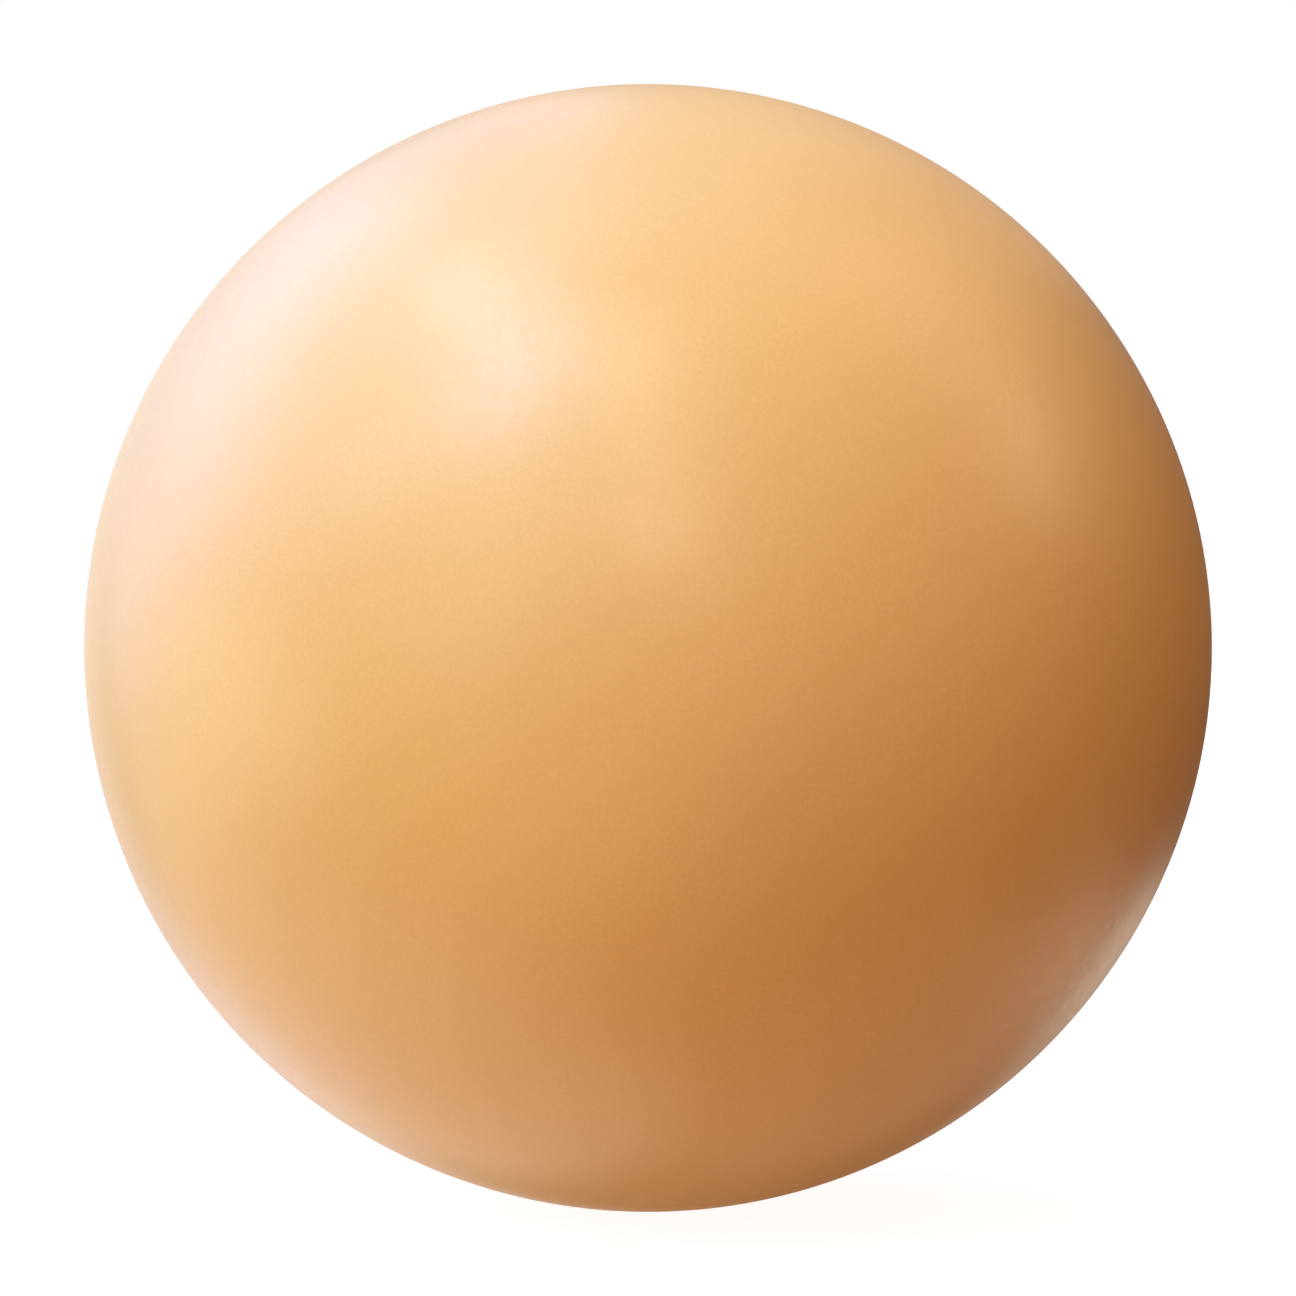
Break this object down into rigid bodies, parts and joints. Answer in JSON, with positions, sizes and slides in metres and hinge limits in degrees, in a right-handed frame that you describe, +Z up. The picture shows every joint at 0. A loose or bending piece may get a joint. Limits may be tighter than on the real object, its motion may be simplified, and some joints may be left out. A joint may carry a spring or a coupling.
{
  "type": "table tennis ball",
  "caption": "Smooth matt orange hollow ball, moulded as thin half shells that are lapped and cemented at a seam, to bounce on a table in table tennis.",
  "frame": {"origin": "centre of the ball", "axes": "+Z up, and +Y along the seam's axis from the front half shell to the rear one, away from the viewer of the picture, so that the seam lies in the XZ plane"},
  "size_m": [0.04, 0.04, 0.04],
  "materials": {
    "shell_plastic": "matt, tumbled to a fine even grain",
    "cement": "set solvent cement, polished flush outside"
  },
  "bodies": {
    "root": {"front_half_shell": "shell_plastic", "rear_half_shell": "shell_plastic", "seam_cement": "cement"}
  },
  "joints": []
}
